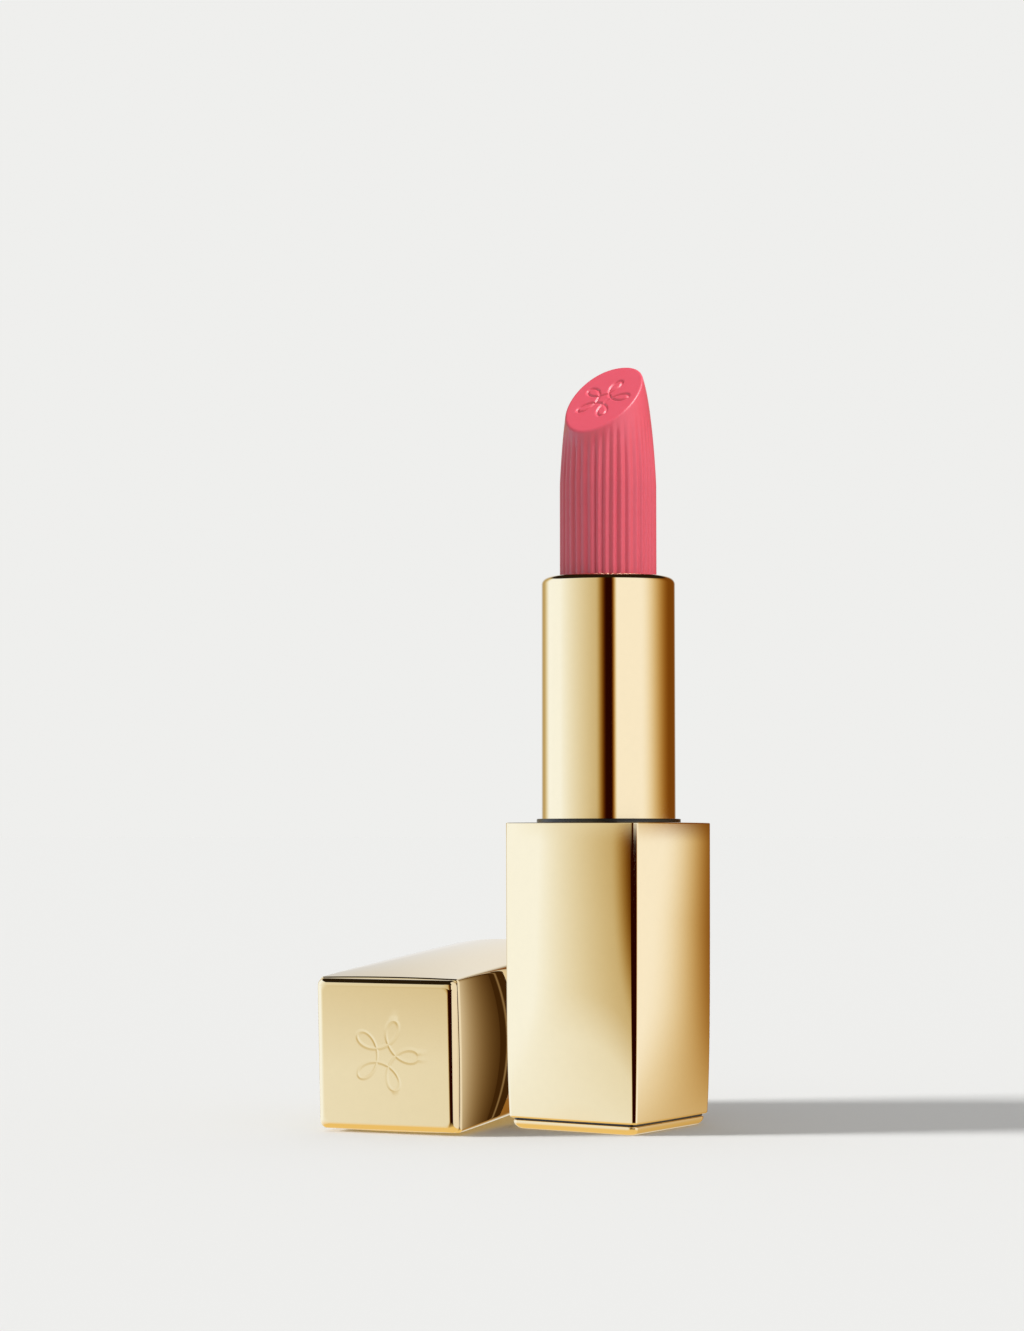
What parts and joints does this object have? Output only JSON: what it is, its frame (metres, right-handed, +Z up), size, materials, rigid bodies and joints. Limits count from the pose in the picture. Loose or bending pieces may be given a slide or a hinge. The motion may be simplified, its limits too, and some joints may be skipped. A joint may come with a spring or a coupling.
{
  "type": "lipstick case",
  "caption": "Square magnetic metal lipstick case standing open with its bullet twisted up out of a round sleeve, and its cap lying beside it.",
  "frame": {"origin": "centre of the foot plate's underside, on the swivel axis", "axes": "+Z up along the swivel axis, from the foot to the bullet's tip; +X and +Y square to the base's sides; the cap lies towards -X and -Y"},
  "size_m": [0.0481, 0.0437, 0.1],
  "materials": {
    "gold": "satin gold plating, softly mirror-like",
    "black_trim": "satin black",
    "inner_plastic": "satin moulded plastic",
    "ring_rubber": "matte",
    "steel": "plain nickel plated",
    "wax": "creamy pink wax, satin"
  },
  "bodies": {
    "case": {"foot_plate": "gold", "foot_seat": "black_trim", "base_shell": "gold", "base_carrier": "inner_plastic", "base_weight": "steel", "base_magnet_1": "steel", "base_magnet_2": "steel", "base_magnet_3": "steel", "base_magnet_4": "steel", "collar_ring": "black_trim", "fork_tube": "inner_plastic", "friction_ring": "ring_rubber"},
    "sleeve": {"sleeve_shell": "gold", "helix_tube": "inner_plastic"},
    "cup": {"bullet_cup": "inner_plastic", "bullet": "wax"},
    "cap": {"cap_end_plate": "gold", "cap_end_seat": "black_trim", "cap_shell": "gold", "cap_liner": "inner_plastic", "cap_keeper_1": "steel", "cap_keeper_2": "steel", "cap_keeper_3": "steel", "cap_keeper_4": "steel"}
  },
  "joints": [
    {"name": "sleeve_turn", "type": "hinge", "parent": "case", "child": "sleeve", "pos_m": [0, 0, 0], "axis": [0, 0, 1], "range_deg": [-450, 0]},
    {"name": "cup_slide", "type": "slide", "parent": "case", "child": "cup", "axis": [0, 0, 1], "range_m": [-0.0292, 0]},
    {"name": "cap_slide", "type": "slide", "parent": "case", "child": "cap", "axis": [0, -1, 0], "range_m": [0, 0.06]}
  ],
  "couplings": [
    {"joint": "cup_slide", "follows": "sleeve_turn", "m_per_rad": 0.0037179}
  ]
}
